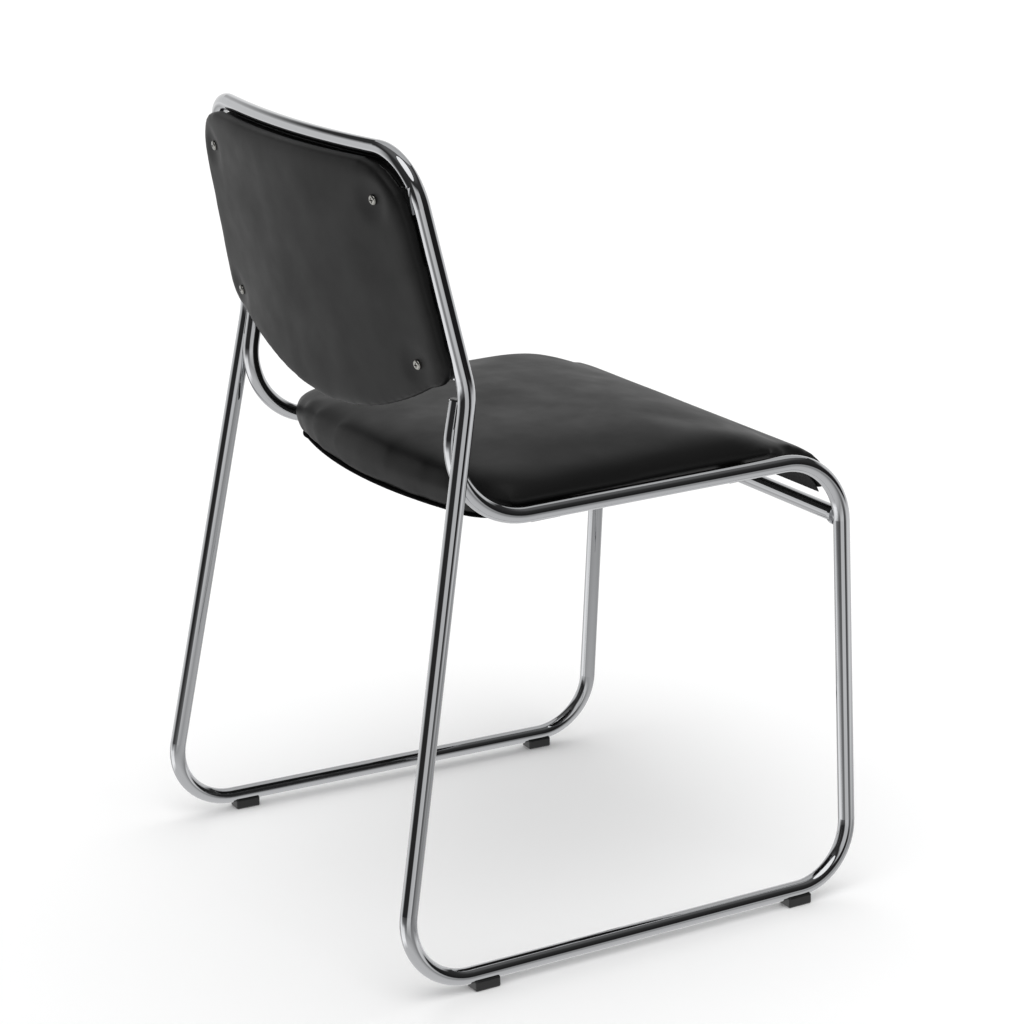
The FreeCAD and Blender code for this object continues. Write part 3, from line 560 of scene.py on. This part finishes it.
floor_form = bmesh.new()
bmesh.ops.create_circle(floor_form, cap_ends=True, radius=30.0, segments=64)
floor = mesh_object("studio_floor", floor_form, white_floor())
floor.visible_glossy = False

# %% [markdown]
# ## What the chrome sees
#
# Chrome shows its surroundings, so bright tube on white would have no shape without something
# dark to reflect. A studio has a pale floor and backdrop, a bright screen near the camera and
# darkness between and above them. That panorama is shown to glossy rays only. The camera sees
# plain white, and all other rays get an even light.

# %% World

def ramp(tree, value, stops):
    """A grey ramp from a value: stops are pairs of the value's 0 to 1 position and the grey."""
    node = add(tree, "ShaderNodeValToRGB", links={"Fac": value})
    elements = node.color_ramp.elements
    elements[0].position = stops[0][0]
    elements[1].position = stops[-1][0]
    for position, _ in stops[1:-1]:
        elements.new(position)
    for element, (_, grey) in zip(elements, stops):
        element.color = (grey, grey, grey, 1.0)
    return node.outputs["Color"]


def maths(tree, operation, *values):
    """A maths node on up to three values, each a plain number or another node's output."""
    node = add(tree, "ShaderNodeMath", {"operation": operation})
    for socket, value in zip(node.inputs, values):
        if isinstance(value, (int, float)):
            socket.default_value = value
        else:
            tree.links.new(value, socket)
    return node.outputs["Value"]


world = bpy.data.worlds.new("white_studio")
bpy.context.scene.world = world
world.use_nodes = True
tree = world.node_tree
tree.nodes.clear()
direction = add(tree, "ShaderNodeTexCoord").outputs["Generated"]
axes = add(tree, "ShaderNodeSeparateXYZ", links={"Vector": direction})
# Height runs from 0 straight down to 1 straight up, and turn from 0 to 1 once round from +X
height = maths(tree, "MULTIPLY_ADD", axes.outputs["Z"], 0.5, 0.5)
turn = maths(tree, "ARCTAN2", axes.outputs["Y"], axes.outputs["X"])
turn = maths(tree, "DIVIDE", turn, math.tau)
turn = maths(tree, "FRACT", turn)
# Pale floor, brightest straight below, dark at its far edge; a dim ceiling
floor_glow = ramp(tree, height, [(0.0, 1.0), (0.20, 0.95), (0.275, 0.75), (0.36, 0.35), (0.44, 0.02),
                                 (0.60, 0.03), (0.80, 0.06), (0.90, 0.20)])
# Round the horizon from +X over +Y: backdrop, darkness, screen by the camera, darkness, backdrop
screens = ramp(tree, turn, [(0.0, 1.0), (0.13, 1.0), (0.19, 0.02), (0.355, 0.02), (0.38, 0.9),
                            (0.49, 0.9), (0.505, 0.0), (0.70, 0.0), (0.74, 1.0), (1.0, 1.0)])
screens_height = ramp(tree, height, [(0.30, 0.0), (0.40, 1.0), (0.66, 1.0), (0.74, 0.0)])
# The floor on the camera's right, and a lamp's bright pool on the floor behind the chair
near_floor = ramp(tree, turn, [(0.56, 0.0), (0.62, 1.0), (0.70, 1.0), (0.74, 0.0)])
near_height = ramp(tree, height, [(0.34, 0.0), (0.38, 1.0), (0.44, 1.0), (0.48, 0.0)])
pool = ramp(tree, turn, [(0.08, 0.0), (0.12, 1.0), (0.26, 1.0), (0.30, 0.0)])
pool_height = ramp(tree, height, [(0.16, 0.0), (0.22, 1.0), (0.34, 1.0), (0.39, 0.0)])
seen = maths(tree, "MULTIPLY_ADD", screens, screens_height, floor_glow)
seen = maths(tree, "MULTIPLY_ADD", near_floor, near_height, seen)
seen = maths(tree, "MULTIPLY_ADD", pool, pool_height, seen)
path = add(tree, "ShaderNodeLightPath")
lit = add(tree, "ShaderNodeBackground", Color=(1.0, 1.0, 1.0, 1.0), Strength=0.76)
studio = add(tree, "ShaderNodeBackground", links={"Strength": seen}, Color=(1.0, 1.0, 1.0, 1.0))
plain = add(tree, "ShaderNodeBackground", Color=(1.0, 1.0, 1.0, 1.0), Strength=1.0)
glossy = add(tree, "ShaderNodeMixShader", links={"Fac": path.outputs["Is Glossy Ray"]})
tree.links.new(lit.outputs["Background"], glossy.inputs[1])
tree.links.new(studio.outputs["Background"], glossy.inputs[2])
shown = maths(tree, "MAXIMUM", path.outputs["Is Camera Ray"], path.outputs["Is Transmission Ray"])
mix = add(tree, "ShaderNodeMixShader", links={"Fac": shown})
tree.links.new(glossy.outputs["Shader"], mix.inputs[1])
tree.links.new(plain.outputs["Background"], mix.inputs[2])
add(tree, "ShaderNodeOutputWorld", links={"Surface": mix.outputs["Shader"]})

# %% Lamps

def soft_sun(name, direction, strength, spread):
    """A very wide sun: an even light with a soft shadow, the same all over the floor."""
    data = bpy.data.lights.new(name, "SUN")
    data.energy = strength
    data.angle = math.radians(spread)
    lamp = bpy.data.objects.new(name, data)
    lamp.rotation_mode = "QUATERNION"
    lamp.rotation_quaternion = Vector(direction).to_track_quat("-Z", "Y")
    bpy.context.scene.collection.objects.link(lamp)
    return lamp


soft_sun("key_light", (0.45, -0.25, -1.0), 0.92, 50)
soft_sun("fill_light", (-0.6, 0.5, -1.0), 0.50, 60)

# %% [markdown]
# ## Camera
#
# The photograph is taken from behind the chair's right side, a little above the seat, from far
# away with a long lens. The place and the turn come from fitting a camera to the tube's lines.

# %% Camera
camera_data = bpy.data.cameras.new("camera")
camera = bpy.data.objects.new("camera", camera_data)
bpy.context.scene.collection.objects.link(camera)
bpy.context.scene.camera = camera
bpy.context.scene.view_settings.view_transform = "Standard"
camera_data.sensor_width = 36.0
camera_data.lens = 108.56
camera_data.clip_end = 100.0
camera_place = Matrix.Translation((-2.5101, 1.4083, 1.2114))
camera_right = Vector((-0.4946, -0.8690, -0.0115)).normalized()
camera_ahead = Vector((0.8349, -0.4714, -0.2842)).normalized()
camera_up = camera_right.cross(camera_ahead).normalized()
camera_turn = Matrix((camera_right, camera_up, -camera_ahead)).transposed()
camera.matrix_world = camera_place @ camera_turn.to_4x4()
